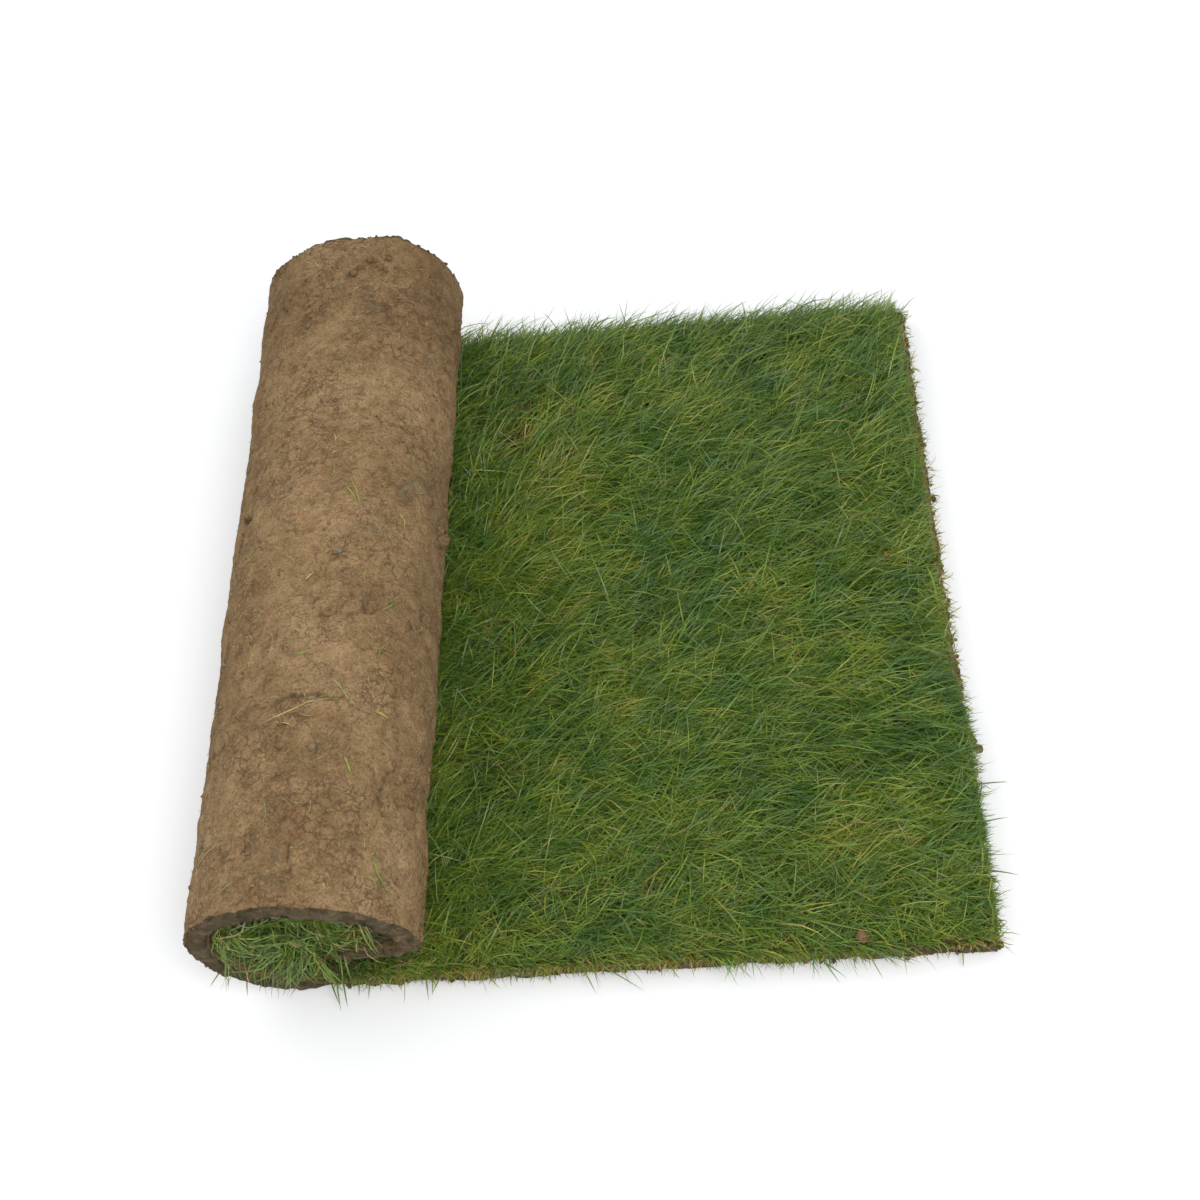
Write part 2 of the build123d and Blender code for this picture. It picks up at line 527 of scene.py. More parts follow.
def ribbons(line, side, width, tint):
    """Points, faces and marks of ribbons that narrow to a point."""
    n, segments = len(line), line.shape[1] - 1
    half = 0.5 * width[:, None] * np.array(BLADE_SHAPE[segments])
    per = 2 * segments + 1
    points, marks = np.zeros((n, per, 3)), np.zeros((n, per, 3))
    for edge, way in ((0, -1.0), (1, 1.0)):
        on_edge = slice(edge, 2 * segments, 2)
        points[:, on_edge] = line[:, :segments] + way * side[:, :segments] * half[..., None]
        marks[:, on_edge, 0] = np.arange(segments) / segments
        marks[:, on_edge, 2] = way
    points[:, -1] = line[:, -1]
    marks[:, -1, 0] = 1.0
    marks[:, :, 1] = tint[:, None]
    first = (np.arange(n) * per)[:, None]
    k = np.arange(segments - 1)[None, :] * 2 + first
    quads = np.stack([k, k + 1, k + 3, k + 2], -1).reshape(-1, 4)
    last = first + 2 * (segments - 1)
    tris = np.stack([last, last + 1, last + 2], -1).reshape(-1, 3)
    return points.reshape(-1, 3), quads, tris, marks.reshape(-1, 3)


def blade_object(name, batches, nodes=("grass",)):
    """Joins batches of ribbons in one mesh, with where they are on the blade painted on."""
    joined, count = [], 0
    for batch in batches:
        if len(batch[0]):
            points, quads, tris, marks = ribbons(*batch)
            joined.append((points, quads + count, tris + count, marks))
            count += len(points)
    points, quads, tris, marks = (np.concatenate(column) for column in zip(*joined))
    obj = make_object(name, points, quads, tris, nodes)
    paint(obj, "blade", marks)
    blade_objects.append(obj)


# The sward on the laid stretch
TUFT_SPACING = 3.85
BLADES_PER_TUFT = 5

# Places where the sward is thin and brown: x, y, width, depth, share lost
THIN_PATCHES = [
    (-90, 190, 34, 60, 0.55), (-20, 110, 22, 30, 0.35), (-110, -40, 24, 50, 0.4), (-105, -150, 30, 45, 0.5),
    (-60, -262, 60, 22, 0.45), (60, -255, 50, 16, 0.35), (212, 190, 26, 34, 0.45), (120, -20, 26, 22, 0.4),
    (150, 240, 40, 24, 0.3), (175, -180, 40, 24, 0.3), (20, 20, 34, 20, 0.25),
]
# Places where it is dense and darker, and one where it lies sleek
DARK_PATCHES = [
    (250, -110, 34, 60, 0.32), (-118, 60, 26, 60, 0.05), (200, -150, 60, 30, 0.12), (40, 60, 60, 26, 0.1),
    (120, 130, 70, 26, 0.08), (-60, -120, 40, 30, 0.1),
]
SLEEK_PATCHES = [(232, -108, 55, 62, 1.0)]
YELLOW_PATCHES = [(-35, 105, 46, 75, 0.16), (135, -13, 30, 26, 0.2)]
# Where blades hang over the front edge: x, width, share
HANGING_CLUSTERS = [(-160, 16, 0.12), (-15, 16, 0.16), (95, 20, 0.42), (148, 20, 0.4), (200, 26, 0.34)]


def patches(x, y, places):
    """Sum of soft round patches at places on the laid stretch."""
    return sum(share * np.exp(-((x - px) / wide) ** 2 - ((y - py) / deep) ** 2)
               for px, py, wide, deep, share in places)


def field(x, y, scale, seed):
    return noise(rows_of(x / scale, y / scale, 0.5), seed)


def thinness(x, y):
    return patches(x, y, THIN_PATCHES) + 0.35 * step(0.1, 0.6, field(x, y, 26.0, 77))


def lean_direction(x, y):
    """Which way the sward is combed at a place on the laid stretch, in radians from +X towards +Y."""
    base = -4 + 18 * field(x, y, 105.0, 71) + 24 * field(x, y, 42.0, 72) + 20 * field(x, y, 17.0, 79)
    base = base + 27 * step(40, 270, y) + 14 * step(20, -90, x)
    base = base - 12 * step(90, 230, x) * step(110, -20, y) * step(-260, -150, y)
    return np.radians(base)


def longest(room, slope):
    """Length at which a blade that leans over uses up the room to an edge."""
    return room / (0.84 * np.maximum(slope, 0.08))


def laid_blades():
    """Blades in tufts on a jittered grid: roots, then directions, lengths and tints."""
    gx, gy = np.meshgrid(np.arange(-181.0, cut_edge(-HALF_WIDTH), TUFT_SPACING),
                         np.arange(-HALF_WIDTH + 1.5, HALF_WIDTH - 1, TUFT_SPACING))
    tx = gx.ravel() + rng.uniform(-0.5, 0.5, gx.size) * TUFT_SPACING
    ty = gy.ravel() + rng.uniform(-0.5, 0.5, gx.size) * TUFT_SPACING
    ledge = 2.0 + 7.5 * step(-125, -70, ty)
    on_strip = tx < cut_edge(ty) - ledge
    on_strip &= ~chance(tx.size, np.clip(thinness(tx, ty), 0, 0.65))
    tx, ty, ledge = tx[on_strip], ty[on_strip], ledge[on_strip]
    n = tx.size
    tufts = (tx, ty, ledge, rng.normal(0, 19, n), rng.uniform(-1, 1, n), rng.normal(1, 0.15, n))
    tx, ty, ledge, tuft_turn, tuft_tint, tuft_size = (np.repeat(column, BLADES_PER_TUFT) for column in tufts)
    n = tx.size
    x = tx + rng.normal(0, 1.2, n)
    y = np.clip(ty + rng.normal(0, 1.2, n), -HALF_WIDTH + 4.5, HALF_WIDTH - 2.0)
    x = np.minimum(x, cut_edge(y) - ledge)
    to_cut, to_back, to_front = cut_edge(y) - x, HALF_WIDTH - y, HALF_WIDTH + y
    ledge_shows = step(-125, -70, y)
    sleek = patches(x, y, SLEEK_PATCHES)
    thin = thinness(x, y)

    messy = 20 + 22 * step(-70, -150, x) + 14 * step(-215, -285, y) + 14 * step(26, 6, to_back)
    angle = lean_direction(x, y) + np.radians(tuft_turn + rng.normal(0, 1, n) * messy) * (1 - 0.5 * sleek)
    angle = some(n, 0.08, 0, 2 * np.pi, angle)
    angle = np.where(chance(n, 0.5) & (to_front < 14), angle + np.radians(rng.uniform(0, 60, n)), angle)
    rise = np.radians(some(n, 0.06, 55, 85, spread(34, 14, n, 6, 80))) + np.radians(26) * step(22, 2, to_cut)
    later_rise = np.radians(rng.normal(3, 12, n)) + np.radians(20) * step(18, 2, to_cut)
    turn = angle + np.radians(rng.normal(0, 20, n))
    first = directions(angle, rise)
    later = directions(turn, later_rise)

    length = (44 + 9 * field(x, y, 60.0, 73) + rng.normal(0, 10, n)) * tuft_size * (1 + 0.25 * sleek)
    length *= some(n, 0.26, 0.3, 0.7, 1.0) * (1 - 0.3 * np.clip(thin, 0, 1))
    length *= 0.55 + 0.45 * step(3, 30, to_front)
    spare = np.abs(rng.normal(0, 2.6 - 1.4 * ledge_shows, n)) - 7.0 * ledge_shows + some(n, 0.012, 6, 16, 0)
    length = np.minimum(length, longest(to_cut + spare, np.cos(angle)))
    spare = np.abs(rng.normal(0, 4.5, n)) + some(n, 0.12, 4, 20, 0)
    length = np.minimum(length, longest(to_back + spare, np.sin(angle)))
    spare = np.abs(rng.normal(0, 2.5, n)) + some(n, 0.02, 4, 14, 0)
    length = np.minimum(length, longest(to_front + spare, -np.sin(angle)))
    length = np.clip(length, 5, 70)
    droop = np.abs(rng.normal(0.12, 0.14, n))

    clusters = sum(share * np.exp(-((x - place) / wide) ** 2) for place, wide, share in HANGING_CLUSTERS)
    over = chance(n, 0.02 + clusters) & (to_front < 8)
    out_angle = np.radians(rng.normal(-55, 28, n) + 22 * step(160, 200, x))
    first = np.where(over[:, None], normalised(directions(out_angle, 0.5) + 0.3 * first), first)
    later = np.where(over[:, None], directions(out_angle, -0.55), later)
    length = np.where(over, rng.uniform(14, 40, n), length)
    droop = np.where(over, droop + 0.35, droop)

    width = spread(0.86, 0.27, n, 0.38, 1.8)
    twist = rng.normal(0, 0.8, n)
    root = rows_of(x, y, SOD + 0.4 + rng.uniform(0, 2.5, n))
    tint = (0.45 + 0.15 * tuft_tint + 0.19 * rng.normal(0, 1, n)
            + 0.19 * field(x, y, 80.0, 74) + 0.24 * field(x, y, 24.0, 75) + 0.12 * field(x, y, 9.0, 76))
    tint += 0.25 * step(22, 8, to_cut) * (0.4 + 0.6 * ledge_shows)
    tint += 0.2 * step(16, 2, to_front) * step(-150, -110, x)
    tint += patches(x, y, YELLOW_PATCHES) - patches(x, y, DARK_PATCHES)
    dry = chance(n, 0.03 + 0.22 * np.clip(thin, 0, 1))
    tint = np.where(dry, rng.uniform(0.9, 1.0, n), np.clip(tint, 0.0, 0.88))
    width, length = np.where(dry, 0.7 * width, width), np.where(dry, 0.7 * length, length)
    curl = rows_of(-np.sin(angle), np.cos(angle)) * rng.normal(0, 0.36, n)[:, None]
    return Blades(root, first, later, length, width, droop, twist, tint, curl, np.where(over, 25.0, 24.0))


laid = laid_blades()
order = np.argsort(laid.root[:, 1], kind="stable")
names = ["grass_front", "grass_front_middle", "grass_back_middle", "grass_back"]
for name, part in zip(names, np.array_split(order, 4)):
    blade_object(name, grow_batches(Blades(*(column[part] for column in laid)), keep_laid))


# Stubble on the cut edges, and single long blades that hang over them
STRAYS = [  # root, way, length and tint
    ((286, -176, 21), (1.0, 0.05, 0.12), 38, 0.3), ((289, -208, 20), (1.0, 0.1, 0.3), 26, 0.3),
    ((290, -246, 20), (1.0, -0.25, 0.2), 28, 0.35), ((-14, -299, 15), (0.85, -0.5, 0.0), 52, 0.5),
    ((-20, -300, 15), (0.4, -0.8, 0.0), 30, 0.55), ((158, -300, 15), (0.5, -0.8, 0.1), 34, 0.35),
    ((150, -300, 15), (0.75, -0.6, 0.2), 40, 0.35), ((180, -300, 16), (0.95, -0.28, 0.1), 58, 0.45),
    ((186, -300, 16), (0.95, -0.2, 0.2), 46, 0.5), ((200, -301, 15), (0.9, -0.35, 0.1), 40, 0.5),
    ((-98, -300, 15), (0.6, -0.6, 0.0), 26, 0.6), ((-122, -300, 16), (-0.4, -0.7, 0.0), 24, 0.6),
    ((-208, -303, 12), (0.15, -1.0, -0.1), 26, 0.5), ((-203, -303, 12), (0.2, -1.0, 0.0), 24, 0.45),
    ((-213, -303, 12), (0.4, -1.0, 0.0), 22, 0.55), ((-181, -303, 12), (-0.1, -1.0, 0.0), 18, 0.55),
    ((-190, -303, 12), (0.0, -1.0, 0.0), 15, 0.55), ((-275, -298, 26), (0.0, -1.0, -0.3), 20, 0.6),
    ((-133, -303, 12), (0.0, -1.0, 0.0), 17, 0.6), ((-174, -303, 12), (0.1, -1.0, 0.1), 12, 0.6),
    ((-288, -298, 40), (-0.6, -0.6, -0.3), 22, 0.6), ((-262, -299, 24), (-0.3, -1.0, -0.3), 16, 0.55),
]


def stray_blades():
    root, way, length, tint = (np.array(column, float) for column in zip(*STRAYS))
    way = normalised(way)
    later = normalised(way + np.array([0, 0, -0.35]))
    same = np.ones(len(root))
    twist = np.linspace(-1, 1, len(root))
    return Blades(root, way, later, length, 1.2 * same, 0.1 * same, twist, tint, 0 * root[:, :2], 25 * same)


def edge_stubble():
    """Short leaf bases and runners on the three cut edges of the laid stretch."""
    roots, outs = [], []
    for count, way in ((3000, -1.0), (900, 0.0), (700, 1.0)):
        level = SOD + 2 - 12 * rng.uniform(0, 1, count) ** 1.6
        if way:
            x = rng.uniform(LIFT_X, cut_edge(way * HALF_WIDTH) - 2, count)
            y = way * (HALF_WIDTH - 1.5)
        else:
            x = CUT_X - rng.uniform(1, 6, count)
            y = rng.uniform(-HALF_WIDTH, HALF_WIDTH, count)
        roots.append(rows_of(x, y, level))
        outs.append(np.full(count, way * np.pi / 2))
    root, out = np.concatenate(roots), np.concatenate(outs)
    bare = (root[:, 0] > 205) & (out < 0) & chance(len(out), 0.75)
    root, out = root[~bare], out[~bare]
    root[:, 0] += np.where(out == 0, cut_edge(root[:, 1]) - CUT_X, 0)
    n = len(root)
    angle = out + rng.normal(0, 0.9, n)
    first = directions(angle, rng.normal(0.55, 0.45, n))
    later = directions(angle + rng.normal(0, 0.5, n), rng.normal(0.1, 0.6, n))
    length = spread(8, 3.5, n, 3, 17)
    width = spread(0.85, 0.25, n, 0.35, 1.5)
    tint = spread(0.86, 0.13, n, 0, 1)
    curl = rng.normal(0, 0.5, (n, 2))
    droop = np.abs(rng.normal(0.2, 0.2, n))
    twist = rng.normal(0, 0.8, n)
    return Blades(root, first, later, length, width, droop, twist, tint, curl, np.full(n, 12.0))


stubble = grow_batches(edge_stubble(), keep_laid)
blade_object("grass_stubble", stubble + grow_batches(stray_blades(), keep_laid))


# Grass at the ends of the roll

# Tufts: place (x from the lift-off, z), spread, blades, first and later way (x, out, z), length, reach, tint
END_TUFTS = [
    ((-12, 90), (32, 24), 460, (0.2, 0.4, 0.1), (0.3, 0.0, -0.2), 32, 0.5, 0.34),
    ((-8, 130), (34, 5), 190, (-0.5, 0.3, -0.3), (-0.7, 0.0, -0.5), 28, 3, 0.36),
    ((10, 130), (26, 5), 90, (0.5, 0.3, -0.3), (0.6, 0.0, -0.6), 26, 3, 0.46),
    ((-56, 96), (4, 16), 150, (0.5, 0.6, 0.1), (0.2, 0.2, -0.9), 34, 7, 0.66),
    ((-50, 44), (12, 7), 60, (0.3, 0.6, 0.1), (0.1, 0.2, -1.0), 26, 8, 0.5),
    ((-32, 38), (14, 6), 70, (0.5, 0.6, 0.1), (0.5, 0.2, -0.7), 28, 8, 0.44),
    ((-14, 74), (6, 6), 60, (-0.3, 0.8, 0.0), (-0.6, 0.2, -1.0), 60, 15, 0.54),
    ((-2, 58), (7, 8), 50, (0.1, 0.8, 0.1), (-0.2, 0.2, -0.9), 42, 12, 0.56),
    ((12, 104), (8, 10), 50, (0.6, 0.6, 0.2), (0.7, 0.1, -0.5), 40, 6, 0.6),
    ((-28, 100), (12, 12), 80, (-0.6, 0.5, 0.3), (-0.8, 0.1, -0.4), 44, 6, 0.45),
    ((42, 98), (5, 18), 60, (-0.4, 0.6, 0.0), (-0.4, 0.1, -0.6), 20, 3, 0.86),
    ((22, 20), (24, 1.5), 380, (0.6, 0.6, 0.1), (0.7, 0.3, 0.0), 17, 3, 0.4),
]

# Bundles in the mouth of the roll: (x, z) from and to, how far they lean out, blades, width, tint
END_BUNDLES = [
    ((-70, 83), (-9, 127), 0.05, 3, 1.7, 0.26), ((-66, 76), (-24, 112), 0.05, 3, 1.3, 0.4),
    ((-11, 94), (13, 123), 0.1, 3, 1.3, 0.3), ((-5, 51), (27, 107), 0.15, 4, 1.9, 0.7),
    ((2, 50), (20, 88), 0.15, 3, 1.6, 0.62), ((-13, 59), (-40, 8), 0.2, 5, 1.3, 0.62),
    ((-6, 62), (5, 17), 0.25, 4, 1.4, 0.55), ((-30, 78), (-34, 36), 0.2, 4, 1.2, 0.6),
    ((-47, 106), (-60, 62), 0.15, 4, 1.2, 0.42), ((-34, 128), (-14, 138), 0.1, 3, 1.2, 0.62),
    ((-58, 119), (-41, 145), 0.1, 4, 1.3, 0.32), ((-8, 96), (-17, 55), 0.2, 4, 1.2, 0.5),
    ((12, 59), (8, 7), 0.25, 3, 1.2, 0.55), ((41, 131), (48, 88), 0.15, 4, 1.1, 0.72),
    ((-63, 108), (-78, 42), 0.2, 6, 1.2, 0.74), ((-72, 96), (-76, 52), 0.2, 6, 1.0, 0.8),
    ((-20, 140), (24, 128), 0.1, 4, 1.2, 0.5), ((-40, 60), (-52, 14), 0.25, 4, 1.2, 0.52),
]


def bundle_blades(way):
    """Columns of the bundles' blades at one end of the roll."""
    parts = []
    for start, end, lean, n, wide, tint in END_BUNDLES:
        start, end = np.array(start, float), np.array(end, float)
        size = np.linalg.norm(end - start)
        at = rows_of(LIFT_X + ROLL_SKEW / 2 * (way + 1) + start[0] + rng.normal(0, 2.2, n),
                     way * (HALF_WIDTH - rng.uniform(0, 4, n)), start[1] + rng.normal(0, 2.2, n))
        ahead = np.array([(end - start)[0] / size, way * lean, (end - start)[1] / size])
        first = normalised(ahead + rng.normal(0, 0.12, (n, 3)))
        later = normalised(ahead + rng.normal(0, 0.16, (n, 3)))
        length = size * rng.normal(1.05, 0.08, n)
        twist = rng.normal(0, 0.7, n)
        tint = np.clip(tint + rng.normal(0, 0.08, n), 0, 1)
        curl = rng.normal(0, 0.15, (n, 2))
        same = np.ones(n)
        parts.append((at, first, later, length, wide * same, 0.1 * same, twist, tint, curl,
                      (4 + 60 * lean) * same))
    return parts


def end_blades(way):
    """Blades that come out between the turns at one end of the roll, most of them in tufts."""
    parts = bundle_blades(way)
    outward = np.array([1.0, way, 1.0])
    for (x, z), (spread_x, spread_z), count, first, later, size, reach, tint in END_TUFTS:
        n = int(1.5 * count)
        at = rows_of(LIFT_X + x + ROLL_SKEW / 2 * way + rng.normal(0, spread_x / 1.5, n),
                     way * (HALF_WIDTH - rng.uniform(4, 32, n)), z + rng.normal(0, spread_z / 1.5, n))
        at = keep_end(at, 0.0, 0.0)
        first = normalised(np.array(first) * outward + rng.normal(0, 0.62, (n, 3)))
        later = normalised(np.array(later) * outward + rng.normal(0, 0.55, (n, 3)))
        length = spread(size, 0.24 * size, n, 8, 92)
        width = spread(0.9, 0.28, n, 0.4, 1.8)
        droop = np.abs(rng.normal(0.3, 0.3, n))
        twist = rng.normal(0, 0.9, n)
        dry = chance(n, 0.13)
        tint = np.where(dry, 0.93, np.clip(tint - 0.03 + rng.normal(0, 0.13, n), 0, 0.86))
        curl = rng.normal(0, 0.3, (n, 2))
        reach = reach * rng.uniform(0.1, 1.15, n)
        parts.append((at, first, later, length, width, droop, twist, tint, curl, reach))
    return Blades(*(np.concatenate(column) for column in zip(*parts)))


for way, name in ((-1, "grass_roll_front"), (1, "grass_roll_back")):
    blade_object(name, grow_batches(end_blades(way), keep_end))


# Clippings and roots on the outside of the roll
CLIPPINGS = [  # runs (s, w), width, tint
    ([(744, -164), (768, -157), (787, -148), (812, -147)], 1.3, 0.88),
    ([(796, -127), (803, -134), (812, -147), (824, -156)], 1.1, 0.9),
    ([(773, -131), (779, -141), (782, -150)], 0.9, 0.86),
    ([(770, -43), (774, -38), (777, -35)], 1.8, 0.89),
    ([(767, -108), (775, -107), (782, -104)], 1.6, 0.72),
    ([(812, -192), (816, -201), (820, -211)], 1.8, 0.76),
    ([(833, -153), (839, -154), (845, -156)], 2.4, 0.84),
    ([(815, -146), (820, -149), (826, -148)], 0.9, 0.98),
    ([(814, -151), (820, -153), (827, -156)], 0.8, 1.0),
    ([(816, -156), (821, -152), (823, -145)], 0.8, 0.99),
    ([(798, 47), (803, 40), (806, 29), (808, 22)], 1.5, 0.84),
    ([(794, 44), (800, 35), (806, 26)], 1.2, 0.8),
    ([(829, -97), (838, -99), (850, -101)], 0.9, 0.97),
    ([(831, -100), (841, -104), (846, -106)], 0.8, 0.96),
    ([(690, -262), (703, -255), (720, -251), (733, -252)], 1.0, 0.8),
    ([(839, -262), (843, -276), (852, -287), (861, -296)], 1.4, 0.66),
    ([(842, 92), (848, 80), (852, 66)], 0.9, 0.86),
    ([(722, 208), (727, 196), (729, 188)], 1.0, 0.6),
]
PATH_POINTS = 6


def surface_ribbons(paths):
    """Ribbons that lie along paths (s, w) on the roll's outside, slightly arched."""
    lines, sides = [], []
    arch = 0.9 * np.sin(np.linspace(0, np.pi, PATH_POINTS))
    for path, _, _ in paths:
        t = np.linspace(0, len(path) - 1, PATH_POINTS)
        s, w = (np.interp(t, np.arange(len(path)), column) for column in zip(*path))
        line = strip_point(s, w, -(0.35 + np.maximum(soil_relief(s, w, 0 * s), -0.3) + arch))
        _, _, nx, nz = run_of_strip(s)
        lines.append(line)
        sides.append(normalised(np.cross(rows_of(-nx, 0.0, -nz), normalised(np.gradient(line, axis=0)))))
    _, widths, tints = zip(*paths)
    return np.stack(lines), np.stack(sides), np.array(widths), np.array(tints)


def scattered_fibres(count, low, high, size, wide, colour):
    """Short bent paths over the outside between two runs, with ranges of size, width and tint."""
    paths = []
    for _ in range(count):
        path = [(rng.uniform(low, high), rng.uniform(-HALF_WIDTH + 4, HALF_WIDTH - 4))]
        angle = rng.uniform(0, 2 * np.pi)
        half = rng.uniform(*size) / 2
        bend = rng.normal(0, 0.5)
        for _ in range(2):
            angle += bend
            path.append((path[-1][0] + math.cos(angle) * half, path[-1][1] + math.sin(angle) * half))
        paths.append((path, rng.uniform(*wide), rng.uniform(*colour)))
    return [p for p in paths if all(abs(w) < HALF_WIDTH - 1 for _, w in p[0])]


loose = [(path, 0.8 * width, min(tint + 0.03, 1.0)) for path, width, tint in CLIPPINGS]
loose += scattered_fibres(38, LAID + 40, OUTER_END - 40, (6, 20), (0.5, 1.2), (0.7, 0.92))
loose += scattered_fibres(900, LAID + 30, OUTER_END - 20, (3, 14), (0.25, 0.55), (0.9, 1.0))
blade_object("clippings", [surface_ribbons(loose)], nodes=())


# Crumbs and pebbles
STONE, GRIT, PLAIN, RIM = -1.0, -0.45, 0.0, 1.0
ROLL_LUMPS = [  # run, place across, radius, kind
    (893, 27, 6.5, PLAIN), (889, 33, 4.5, PLAIN), (790, -187, 2.8, GRIT), (795, -18, 2.1, STONE),
    (857, 191, 1.6, STONE), (784, 262, 3.2, PLAIN), (806, 268, 3.6, PLAIN), (797, 276, 3.0, PLAIN),
    (812, 279, 3.4, PLAIN), (794, -183, 2.2, GRIT),
]
EDGE_LUMPS = [  # x, y, z, radius
    (290, -88, 17, 3.6), (288, -94, 16, 4.2), (291, -80, 15, 2.6), (296, -133, 12, 3.2), (299, -139, 9, 3.8),
    (294, -128, 15, 2.4), (289, 96, 17, 2.4), (287, 40, 17, 2.2), (194, -297, 30, 5.4), (285, 158, 15, 2.6),
    (243, 31, 35, 2.6), (222, 188, 34, 2.2), (232, -305, 8, 3.0), (227, -307, 5, 2.4), (151, -306, 6, 2.2),
    (-157, -302, 118, 5.5), (-161, -303, 126, 4.0), (-151, -303, 110, 3.6), (-166, -302, 112, 3.4),
]
CRUMBS_ON_ROLL, CRUMBS_ON_RIM, CRUMBS_ON_EDGES = 450, 110, 170


def crumb_sizes(count, shape, scale, smallest, largest):
    return np.minimum(rng.gamma(shape, scale, count) + smallest, largest)


def crumb_places():
    """Centre in mm, radius and kind of each crumb: the listed ones, then those on roll, rims and edges."""
    s, w, size, kind = np.array(ROLL_LUMPS, float).T
    parts = [(strip_point(s, w, -0.1 * size), size, kind)]
    x, y, z, size = np.array(EDGE_LUMPS, float).T
    parts.append((rows_of(x, y, z), size, np.where(x > 280, RIM, PLAIN)))
    n = CRUMBS_ON_ROLL
    s = rng.uniform(LAID + 30, OUTER_END - 20, n)
    w = rng.uniform(-HALF_WIDTH + 3, HALF_WIDTH - 3, n)
    size = crumb_sizes(n, 2.2, 0.36, 0.3, 1.5)
    parts.append((strip_point(s, w, -0.2 * size + 0.3), size, np.full(n, PLAIN)))
    n = CRUMBS_ON_RIM
    for way in (-1, 1):
        s = rng.uniform(LAID + 20, OUTER_END - 10, n)
        size = crumb_sizes(n, 2.4, 0.32, 0.4, 1.7)
        w = way * (HALF_WIDTH - 1.0) - (5.5 * step(LAID + 190, LAID + 330, s) + 2) * (way < 0)
        parts.append((strip_point(s, w, rng.uniform(0.5, 3.5, n)), size, np.full(n, RIM)))
    n = CRUMBS_ON_EDGES
    size = crumb_sizes(n, 2.2, 0.5, 0.5, 2.8)
    run = rng.uniform(0, 1, n)
    on_cut = chance(n, 0.45)
    side = np.where(chance(n, 0.7), -1, 1)
    y = np.where(on_cut, (run - 0.5) * 2 * HALF_WIDTH, side * (HALF_WIDTH + 0.2))
    x = np.where(on_cut, cut_edge(y) - 0.5, LIFT_X + run * (cut_edge(y) - 3 - LIFT_X))
    parts.append((rows_of(x, y, rng.uniform(1, SOD, n)), size, np.full(n, RIM)))
    return (np.concatenate(column) for column in zip(*parts))


ball = bmesh.new()
bmesh.ops.create_icosphere(ball, subdivisions=2, radius=1.0)
ball_points = np.array([tuple(v.co) for v in ball.verts])
ball_tris = np.array([[v.index for v in f.verts] for f in ball.faces])
ball.free()
centres, radii, kinds = crumb_places()
points = []
for k, (centre, radius) in enumerate(zip(centres, radii)):
    listed = k < len(ROLL_LUMPS) + len(EDGE_LUMPS)
    stretch = rng.uniform(0.85, 1.1, 3) if listed else rng.uniform(0.55, 1.3, 3)
    lumpy = (0.45 if listed else 0.75) * noise(ball_points * 1.6 + rng.uniform(0, 50, 3), 81)
    points.append(centre + ball_points * radius * stretch * (1 + lumpy[:, None]))
points = np.concatenate(points)
points[:, 2] = np.maximum(points[:, 2], 0.2)
tris = np.concatenate([ball_tris + k * len(ball_points) for k in range(len(centres))])
crumbs = make_object("soil_crumbs", points, [], tris)
paint(crumbs, "strip", points * MM)
kinds = np.repeat(kinds, len(ball_points))
# Crumbs on rims and edges take part of the cut-face colour, which is partly painted shade; stones and grit
# are marked for their grey.
paint(crumbs, "state", rows_of(0.0, 0.62 * (kinds == RIM), np.minimum(kinds, 0)))


# Materials
class Graph:
    """Short calls for the nodes that repeat in a node tree. Each gives an output of the new node."""

    def __init__(self, tree):
        self.nodes, self.links = tree.nodes, tree.links

    def put(self, socket, value):
        """Links an output to a socket, or sets the socket to a number or colour."""
        if isinstance(value, bpy.types.NodeSocket):
            self.links.new(value, socket)
        elif socket.type == "RGBA":
            socket.default_value = (*value, 1.0)
        else:
            socket.default_value = value

    def add(self, kind, sockets, output=0, **settings):
        node = self.nodes.new("ShaderNode" + kind)
        for key, value in settings.items():
            setattr(node, key, value)
        for key, value in sockets.items():
            self.put(node.inputs[key], value)
        return node.outputs[output]

    def attribute(self, name):
        return self.add("Attribute", {}, "Vector", attribute_name=name)

    def split(self, vector):
        return self.add("SeparateXYZ", {0: vector}, slice(0, 3))

    def math(self, operation, *values):
        return self.add("Math", dict(enumerate(values)), operation=operation)

    def vector(self, operation, *values, output="Vector"):
        return self.add("VectorMath", dict(enumerate(values)), output, operation=operation)

    def noise(self, vector, scale, detail, roughness=0.55, distortion=0.0, output="Fac"):
        return self.add("TexNoise", {"Vector": vector, "Scale": scale, "Detail": detail,
                                     "Roughness": roughness, "Distortion": distortion}, output)

    def cells(self, vector, scale, output, **settings):
        return self.add("TexVoronoi", {"Vector": vector, "Scale": scale}, output, **settings)

    def span(self, value, low, high, most=1.0):
        """A soft step from 0 to a number, as the value goes from low to high."""
        numbers = {"Value": value, "From Min": low, "From Max": high, "To Max": most}
        return self.add("MapRange", numbers, "Result", interpolation_type="SMOOTHSTEP")

    def ramp(self, value, stops):
        node = self.nodes.new("ShaderNodeValToRGB")
        elements = node.color_ramp.elements
        while len(elements) < len(stops):
            elements.new(0.5)
        for element, (place, colour) in zip(elements, stops):
            element.position = place
            element.color = (*colour, 1.0)
        self.links.new(value, node.inputs[0])
        return node.outputs[0]

    def mix(self, factor, a, b, blend="MIX"):
        return self.add("Mix", {0: factor, 6: a, 7: b}, 2, data_type="RGBA", blend_type=blend)

    def finish(self, shader, colour, roughness, specular, height=None, strength=1.0, distance=0.0):
        """Sets a shader's colour and gloss, and its bump from a height."""
        self.put(shader.inputs["Base Color"], colour)
        shader.inputs["Roughness"].default_value = roughness
        shader.inputs["Specular IOR Level"].default_value = specular
        if height is not None:
            bump = self.add("Bump", {"Strength": strength, "Distance": distance, "Height": height})
            self.links.new(bump, shader.inputs["Normal"])


def new_material(name):
    material = bpy.data.materials.new(name)
    material.use_nodes = True
    return material, Graph(material.node_tree), material.node_tree.nodes["Principled BSDF"]


